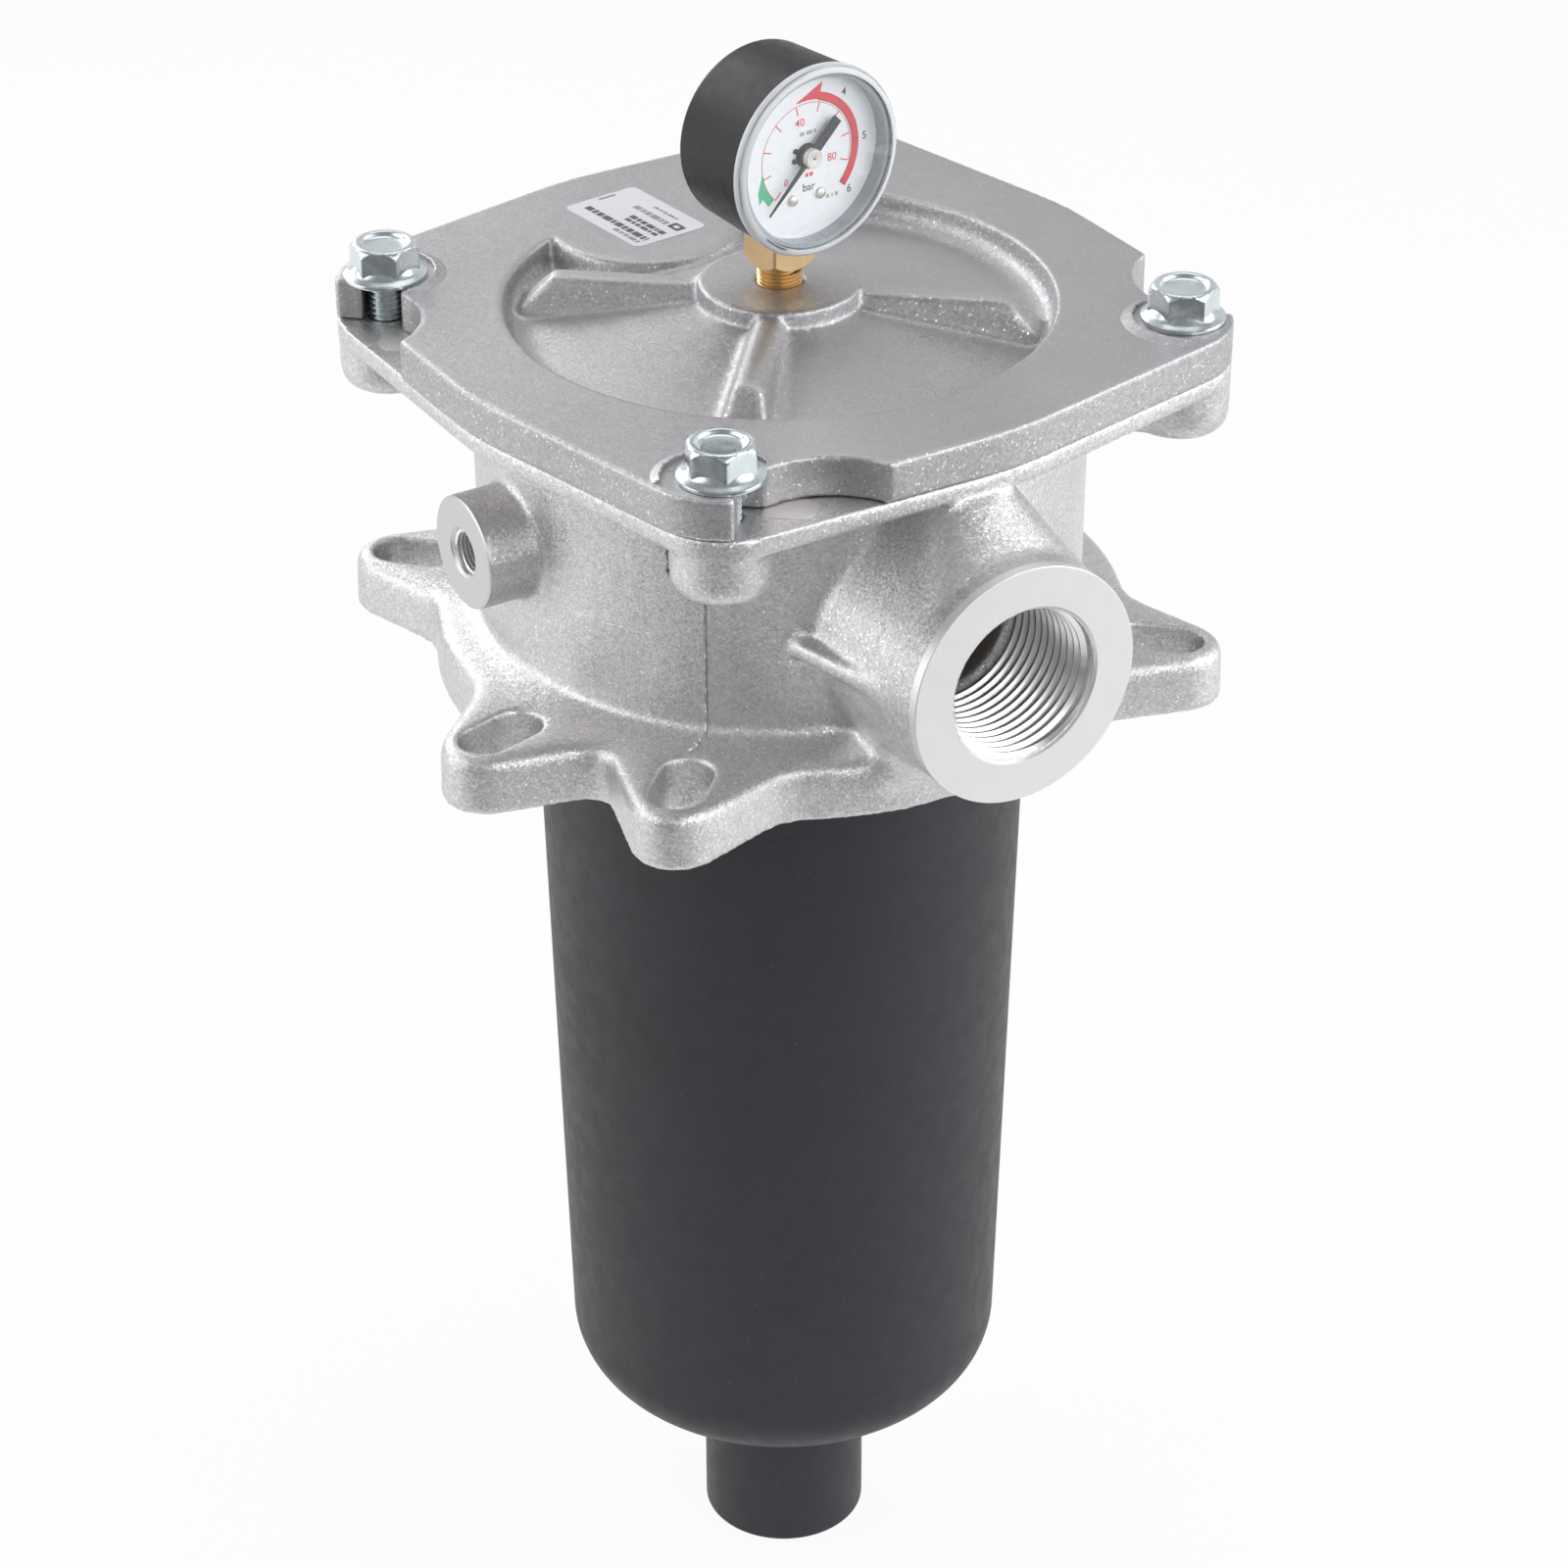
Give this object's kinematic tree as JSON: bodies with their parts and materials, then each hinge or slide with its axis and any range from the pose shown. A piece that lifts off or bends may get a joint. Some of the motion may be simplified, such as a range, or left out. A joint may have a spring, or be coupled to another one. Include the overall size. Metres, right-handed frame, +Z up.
{
  "type": "tank-top hydraulic filter",
  "caption": "Tank-top hydraulic filter with a cast head, plastic bowl, quick-release cover, side inlet port and a dial pressure gauge.",
  "frame": {"origin": "centre of the tank flange's underside, on the filter's long axis", "axes": "+Z up along the filter's axis, +X towards the inlet port, -Y towards the small side port"},
  "size_m": [0.1885, 0.1718, 0.3762],
  "materials": {
    "head": "sand-cast, bead-blasted, port face machined",
    "cover": "pressure-cast, as-cast satin",
    "cover_seal": "smooth nitrile",
    "cover_bolts": "bright zinc plated",
    "label": "blank printed film",
    "bowl": "fine moulded grain",
    "bowl_seal": "smooth nitrile",
    "bowl_ring": "spring steel, oiled",
    "element_top_cap": "pressed, zinc plated",
    "element_media": "pleated paper",
    "element_core": "perforated, zinc plated",
    "element_bottom_cap": "pressed, zinc plated",
    "element_seal": "smooth nitrile",
    "element_spring": "drawn spring wire",
    "bypass_seat": "turned",
    "bypass_cage": "glass-filled nylon",
    "bypass_poppet": "natural acetal",
    "bypass_spring": "drawn spring wire",
    "gauge_stem": "turned and milled",
    "gauge_case": "satin moulded",
    "gauge_window": "clear moulded acrylic",
    "gauge_dial": "white enamel with printed scales",
    "dial_screws": "nickel plated",
    "gauge_movement": "stamped",
    "bourdon_tube": "phosphor bronze, flattened tube",
    "gauge_link": "stamped strip",
    "sector_gear": "stamped",
    "pointer_shaft": "turned and hobbed",
    "gauge_pointer": "black, with a nickel hub"
  },
  "bodies": {
    "housing": {"head": "head", "cover_seal": "cover_seal", "cover_bolts": "cover_bolts", "bowl": "bowl", "bowl_seal": "bowl_seal", "bowl_ring": "bowl_ring", "element_top_cap": "element_top_cap", "element_media": "element_media", "element_core": "element_core", "element_bottom_cap": "element_bottom_cap", "element_seal": "element_seal", "element_spring": "element_spring", "bypass_seat": "bypass_seat", "bypass_cage": "bypass_cage", "bypass_spring": "bypass_spring"},
    "lid": {"cover": "cover", "label": "label", "gauge_stem": "gauge_stem", "gauge_case": "gauge_case", "gauge_window": "gauge_window", "gauge_dial": "gauge_dial", "dial_screws": "dial_screws", "gauge_movement": "gauge_movement", "bourdon_tube": "bourdon_tube", "gauge_link": "gauge_link"},
    "pointer": {"pointer_shaft": "pointer_shaft", "gauge_pointer": "gauge_pointer"},
    "sector": {"sector_gear": "sector_gear"},
    "poppet": {"bypass_poppet": "bypass_poppet"}
  },
  "joints": [
    {"name": "cover_turn", "type": "hinge", "parent": "housing", "child": "lid", "pos_m": [0, 0, 0.0742], "axis": [0, 0, 1], "range_deg": [-14, 0]},
    {"name": "pointer_turn", "type": "hinge", "parent": "lid", "child": "pointer", "pos_m": [0, 0, 0.1179], "axis": [-0.9945, -0.1045, 0], "range_deg": [0, 270]},
    {"name": "sector_swing", "type": "hinge", "parent": "lid", "child": "sector", "pos_m": [0, 0, 0.1087], "axis": [-0.9945, -0.1045, 0], "range_deg": [-40.5, 0]},
    {"name": "bypass_open", "type": "slide", "parent": "housing", "child": "poppet", "axis": [0, 0, -1], "range_m": [0, 0.004], "stiffness_N_per_m": 3000, "springref_m": -0.02, "deforming": ["bypass_spring"]}
  ],
  "couplings": [
    {"joint": "sector_swing", "follows": "pointer_turn", "ratio": -0.15}
  ]
}
